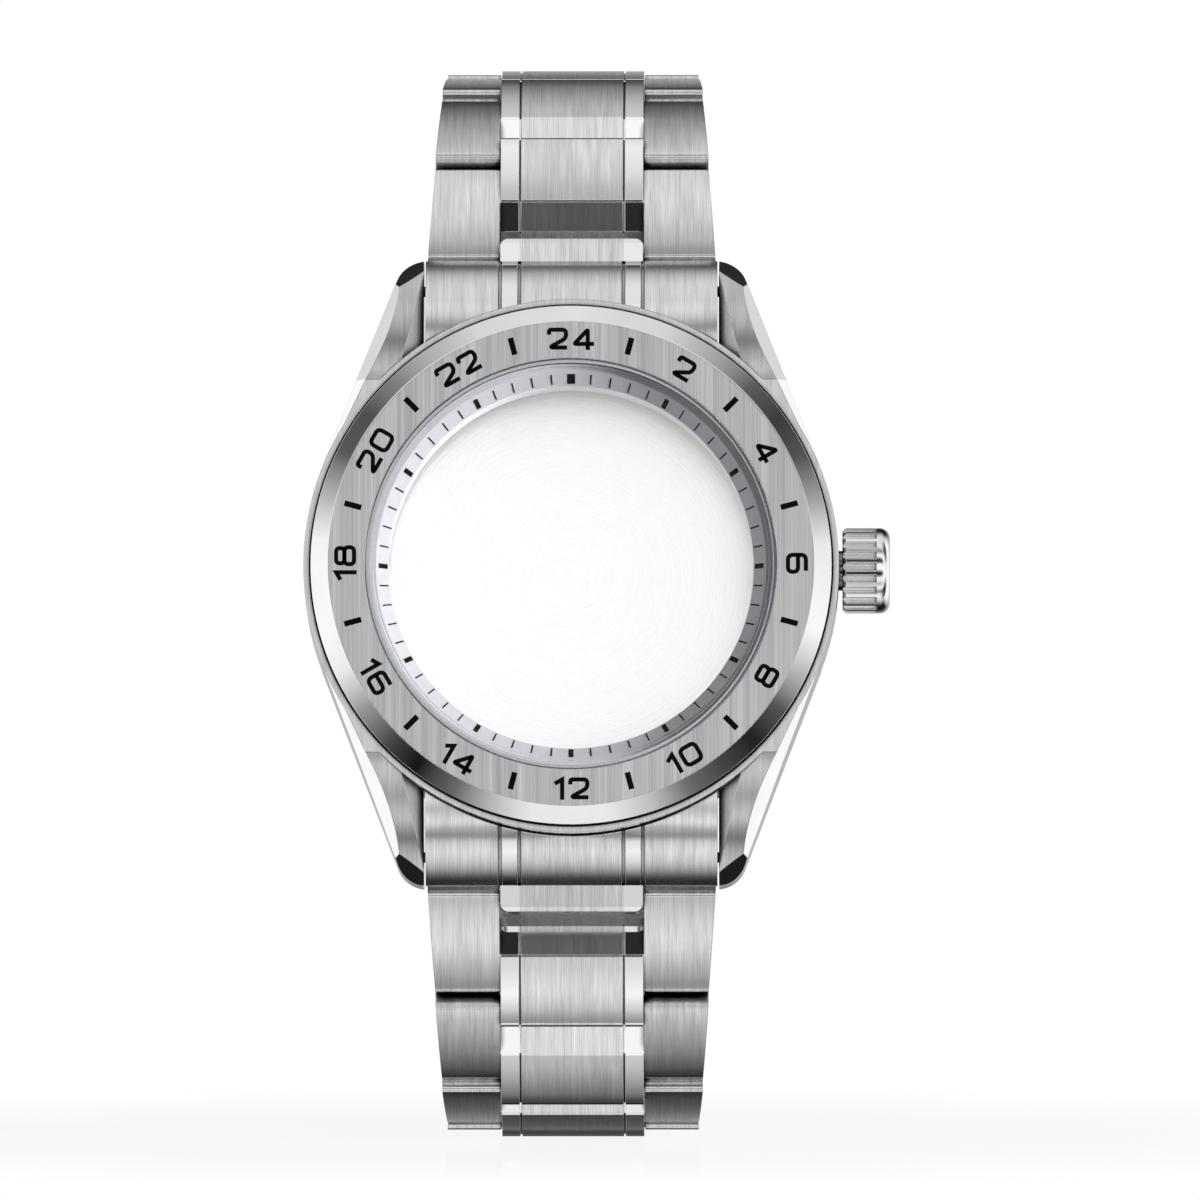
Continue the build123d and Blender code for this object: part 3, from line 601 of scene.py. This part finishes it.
# The slope at the start of each link's raised centre, cut across its whole width. The
# headings are those of the links in the closed loop, in degrees. The corners are along
# and out from the link's own pin, in millimetres.
HEADINGS = (29, 53.5, 78, 99, 120, 141, 162)
WELD = 1e-7
SHARP_ANGLE = 25
CUT_CORNERS = ((1.97, -0.106), (4.65, 2.01), (1.97, 2.6))
CUT_HALF_WIDTH = 5.42


def cutter(pin, along, out):
    """Wedge that is taken away from a link."""
    mesh = bmesh.new()
    ends = [
        [
            mesh.verts.new(pin + (along * far + out * high + Vector((x, 0, 0))) * MM)
            for far, high in CUT_CORNERS
        ]
        for x in (-CUT_HALF_WIDTH, CUT_HALF_WIDTH)
    ]
    mesh.faces.new(ends[0])
    mesh.faces.new(ends[1][::-1])
    for k in range(3):
        mesh.faces.new((ends[0][k], ends[1][k], ends[1][(k + 1) % 3], ends[0][(k + 1) % 3]))
    bmesh.ops.recalc_face_normals(mesh, faces=mesh.faces)
    data = bpy.data.meshes.new("cutter")
    mesh.to_mesh(data)
    mesh.free()
    wedge = bpy.data.objects.new("cutter", data)
    bpy.context.scene.collection.objects.link(wedge)
    return wedge


def sloped_link(side, number):
    """Stand-in for a link's solid, with the slope cut."""
    name = f"link_{side}_{number}"
    joints = frame["record"]["behaviour"]["joints"]
    hinge = next(joint for joint in joints if joint["name"] == f"hinge_{side}_{number}")
    heading = radians(HEADINGS[number - 1])
    sign = 1 if side == "12" else -1
    along = Vector((0, sin(heading), sign * cos(heading)))
    out = Vector((0, -cos(heading), sign * sin(heading)))
    wedge = cutter(Vector(hinge["pos_m"]), along, out)
    mesh = bmesh.new()
    mesh.from_mesh(nodes[name].data)
    bmesh.ops.remove_doubles(mesh, verts=mesh.verts, dist=WELD)
    data = bpy.data.meshes.new(f"{name}_steel")
    mesh.to_mesh(data)
    mesh.free()
    if "custom_normal" in data.attributes:
        data.attributes.remove(data.attributes["custom_normal"])
    piece = bpy.data.objects.new(f"{name}_steel", data)
    bpy.context.scene.collection.objects.link(piece)
    cut = piece.modifiers.new("cut", "BOOLEAN")
    cut.operation = "DIFFERENCE"
    cut.solver = "EXACT"
    cut.object = wedge
    bpy.context.view_layer.update()
    evaluated = piece.evaluated_get(bpy.context.evaluated_depsgraph_get())
    result = bpy.data.meshes.new_from_object(evaluated)
    piece.modifiers.clear()
    piece.data = result
    bpy.data.objects.remove(wedge)
    result.shade_smooth()
    result.set_sharp_from_angle(angle=radians(SHARP_ANGLE))
    result.materials.clear()
    for material in (link_steel, flank_steel):
        result.materials.append(material)
    for face in result.polygons:
        face.material_index = flank_face(face.center / MM, face.normal)
    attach(piece, hinge["child"])
    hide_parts(name)


bezel_scale()
minute_marks()
for side in SIDES:
    for number in LINK_NUMBERS:
        sloped_link(side, number)

# Camera at the photograph's place
SCALE = 0.0748
FIELD = SCALE * 1200
TILT = 5.5
SIDE = 0.3
LENS = 1500.0
SENSOR = 36.0
PICTURE_X, PICTURE_Y = 571.0, 563.4
away = LENS * FIELD / SENSOR
turn, rise = radians(SIDE), radians(-TILT)
back = Vector((sin(turn) * cos(rise), -cos(turn) * cos(rise), sin(rise)))
camera_data = bpy.data.cameras.new("camera")
camera_data.lens = LENS
camera_data.sensor_width = SENSOR
camera_data.clip_start = 0.01
camera_data.clip_end = 20.0
camera = bpy.data.objects.new("camera", camera_data)
facing = (-back).to_track_quat("-Z", "Y")
camera.rotation_mode = "QUATERNION"
camera.rotation_quaternion = facing
right = facing @ Vector((1, 0, 0))
up = facing @ Vector((0, 1, 0))
bezel_centre = Vector((0, BEZEL_FRONT_Y, 0))
aim = bezel_centre + right * (600 - PICTURE_X) * SCALE - up * (600 - PICTURE_Y) * SCALE
camera.location = (aim + back * away) * MM
bpy.context.scene.collection.objects.link(camera)
bpy.context.scene.camera = camera

# Floor: a pale plane under the bracelet, leaning back as the watch stands in the photograph
LOOK_DOWN = 1.6
FLOOR_FADE = (45.0, 95.0)
FLOOR_WHITE = 0.95
FLOOR_SHINE = 0.08
FLOOR_ROUGH = 0.06
FLOOR_CLOTH = 0.97
FLOOR_SIZE = 0.4
FLOOR_GAP = 0.02
lean = radians(TILT + LOOK_DOWN)
floor_up = Vector((0, -sin(lean), cos(lean)))
corners = (vertex.co for name in nodes for vertex in nodes[name].data.vertices)
lowest = min(corners, key=lambda corner: corner.dot(floor_up))
floor_centre = Vector((0, lowest.y, lowest.z)) - floor_up * FLOOR_GAP * MM


def floor():
    """Round floor that fades into the white; only its top shows, and not in metal.

    Its white is nearly all for the camera alone, so it shows hardly any shadow.
    """
    bpy.ops.mesh.primitive_grid_add(x_subdivisions=2, y_subdivisions=2, size=FLOOR_SIZE)
    plane = bpy.context.object
    plane.name = "floor"
    plane.rotation_mode = "QUATERNION"
    plane.rotation_quaternion = floor_up.to_track_quat("Z", "Y")
    plane.location = floor_centre
    material = bpy.data.materials.new("pale_floor")
    material.use_nodes = True
    tree = Tree(material.node_tree)
    place = tree.add("ShaderNodeTexCoord")
    length = tree.add("ShaderNodeVectorMath", operation="LENGTH")
    tree.join(place.outputs["Object"], length.inputs[0])
    fade = spread(tree, length.outputs["Value"], 0, 1, FLOOR_FADE[0] * MM, FLOOR_FADE[1] * MM)
    side = tree.add("ShaderNodeNewGeometry")
    hide = tree.math("MAXIMUM", fade, side.outputs["Backfacing"])
    cloth = tree.add("ShaderNodeBsdfDiffuse")
    cloth.inputs["Color"].default_value = even(FLOOR_CLOTH)
    white = tree.add("ShaderNodeEmission")
    rays = tree.add("ShaderNodeLightPath")
    matt = tree.add("ShaderNodeMixShader")
    tree.join(tree.math("MULTIPLY", rays.outputs["Is Camera Ray"], FLOOR_WHITE), matt.inputs["Fac"])
    tree.join(cloth.outputs[0], matt.inputs[1])
    tree.join(white.outputs[0], matt.inputs[2])
    gloss = tree.add("ShaderNodeBsdfGlossy")
    gloss.inputs["Color"].default_value = (1, 1, 1, 1)
    gloss.inputs["Roughness"].default_value = FLOOR_ROUGH
    shine = tree.add("ShaderNodeMixShader")
    shine.inputs["Fac"].default_value = FLOOR_SHINE
    tree.join(matt.outputs[0], shine.inputs[1])
    tree.join(gloss.outputs[0], shine.inputs[2])
    clear = tree.add("ShaderNodeBsdfTransparent")
    both = tree.add("ShaderNodeMixShader")
    tree.join(hide, both.inputs["Fac"])
    tree.join(shine.outputs[0], both.inputs[1])
    tree.join(clear.outputs[0], both.inputs[2])
    output = tree.add("ShaderNodeOutputMaterial")
    tree.join(both.outputs[0], output.inputs["Surface"])
    plane.data.materials.append(material)
    plane.visible_glossy = False


floor()

# World: white to the camera and through glass. Metal sees other tones, which are screen
# greys by direction in degrees. The greys round the case, clockwise from 12 o'clock, were
# measured in the photograph on the bezel's slope, about every 10 degrees. Those above and
# below the front began as greys measured in it along the links, each set at the angle
# that its face mirrors, and were changed since.
ABOVE = (
    (0, 255), (13, 250), (18, 110), (24, 30), (29, 130), (36, 255), (43, 215), (51, 130),
    (56, 185), (62, 225), (70, 240), (76, 225), (84, 230), (96, 225), (106, 200), (112, 175),
    (116, 140), (121, 90), (127, 40), (138, 25), (150, 60), (161, 150), (180, 205),
)
BELOW = (
    (0, 255), (5, 190), (9, 70), (14, 20), (19, 130), (25, 250), (33, 235), (41, 185),
    (47, 225), (53, 250), (59, 185), (65, 120), (70, 225), (80, 245), (91, 220), (98, 185),
    (104, 140), (110, 75), (116, 30), (135, 20), (150, 90), (165, 165), (180, 205),
)
AROUND = (
    (0, 255), (20, 240), (30, 190), (41, 95), (50, 60), (60, 85), (70, 165), (80, 240),
    (100, 255), (110, 190), (120, 85), (130, 30), (140, 72), (150, 116), (160, 208), (171, 255),
    (190, 255), (200, 203), (210, 110), (221, 15), (230, 70), (240, 153), (250, 240), (260, 255),
    (281, 250), (290, 190), (301, 90), (311, 80), (320, 135), (330, 200), (340, 242), (360, 255),
)


# Light on matt surfaces; where |x| hands over to the tones round the case; and between
# which y, from the front to the back, those tones come in and go out again
AMBIENT = 0.30
ASIDE = (0.45, 0.75)
RIM_IN = (-0.5, -0.35)
RIM_OUT = (0, 0.12)
WHITE = (1, 1, 1, 1)


def in_degrees(tree, out):
    return tree.math("MULTIPLY", out, 180 / pi)


def studio():
    world = bpy.data.worlds.new("studio")
    bpy.context.scene.world = world
    world.use_nodes = True
    tree = Tree(world.node_tree)
    place = tree.add("ShaderNodeTexCoord")
    split = tree.add("ShaderNodeSeparateXYZ")
    tree.join(place.outputs["Generated"], split.inputs[0])
    x, y, z = split.outputs
    height = in_degrees(tree, tree.math("ARCTAN2", z, tree.math("MULTIPLY", y, -1)))
    up, down = tree.math("DIVIDE", height, 180), tree.math("DIVIDE", height, -180)
    up_tone = ramp(tree, [(angle / 180, grey) for angle, grey in ABOVE], up)
    down_tone = ramp(tree, [(angle / 180, grey) for angle, grey in BELOW], down)
    tall = tree.add("ShaderNodeMix", data_type="RGBA")
    tree.join(tree.math("GREATER_THAN", z, 0), tall.inputs["Factor"])
    tree.join(down_tone, tall.inputs["A"])
    tree.join(up_tone, tall.inputs["B"])
    # Far to the sides the height means little, and only the tones round the case count
    aside = spread(tree, tree.math("ABSOLUTE", x), 0, 1, *ASIDE)
    face_on = tree.add("ShaderNodeMix", data_type="RGBA")
    tree.join(aside, face_on.inputs["Factor"])
    tree.join(tall.outputs["Result"], face_on.inputs["A"])
    face_on.inputs["B"].default_value = WHITE
    turn = in_degrees(tree, tree.math("ARCTAN2", x, z))
    clock = tree.math("DIVIDE", tree.math("FLOORED_MODULO", turn, 360), 360)
    round_tone = ramp(tree, [(angle / 360, grey) for angle, grey in AROUND], clock)
    rim = tree.add("ShaderNodeMix", data_type="RGBA")
    coming, going = spread(tree, y, 0, 1, *RIM_IN), spread(tree, y, 1, 0, *RIM_OUT)
    sideways = tree.math("MULTIPLY", coming, going)
    tree.join(sideways, rim.inputs["Factor"])
    rim.inputs["A"].default_value = WHITE
    tree.join(round_tone, rim.inputs["B"])
    tone = tree.add("ShaderNodeMix", data_type="RGBA", blend_type="MULTIPLY")
    tone.inputs["Factor"].default_value = 1.0
    tree.join(face_on.outputs["Result"], tone.inputs["A"])
    tree.join(rim.outputs["Result"], tone.inputs["B"])
    rays = tree.add("ShaderNodeLightPath")
    mirror = tree.add("ShaderNodeMix", data_type="RGBA")
    mirror.inputs["A"].default_value = even(AMBIENT)
    tree.join(rays.outputs["Is Glossy Ray"], mirror.inputs["Factor"])
    tree.join(tone.outputs["Result"], mirror.inputs["B"])
    final = tree.add("ShaderNodeMix", data_type="RGBA")
    seen = tree.math("MAXIMUM", rays.outputs["Is Camera Ray"], rays.outputs["Is Transmission Ray"])
    tree.join(seen, final.inputs["Factor"])
    tree.join(mirror.outputs["Result"], final.inputs["A"])
    final.inputs["B"].default_value = WHITE
    backdrop = tree.add("ShaderNodeBackground")
    tree.join(final.outputs["Result"], backdrop.inputs["Color"])
    output = tree.add("ShaderNodeOutputWorld")
    tree.join(backdrop.outputs[0], output.inputs["Surface"])


studio()

# One soft lamp from the crown side, for matt surfaces such as the chapter ring. Metal
# doesn't show it.
LAMP_SIZE = 0.12
LAMP_WATTS = 2.4
LAMP_PLACE = (0.32, -0.24, 0.03)
lamp_data = bpy.data.lights.new("side_lamp", "AREA")
lamp_data.size = LAMP_SIZE
lamp_data.energy = LAMP_WATTS
lamp = bpy.data.objects.new("side_lamp", lamp_data)
lamp.location = LAMP_PLACE
lamp.rotation_mode = "QUATERNION"
lamp.rotation_quaternion = lamp.location.to_track_quat("Z", "Y")
lamp.visible_glossy = False
bpy.context.scene.collection.objects.link(lamp)

scene = bpy.context.scene
scene.view_settings.view_transform = "Standard"
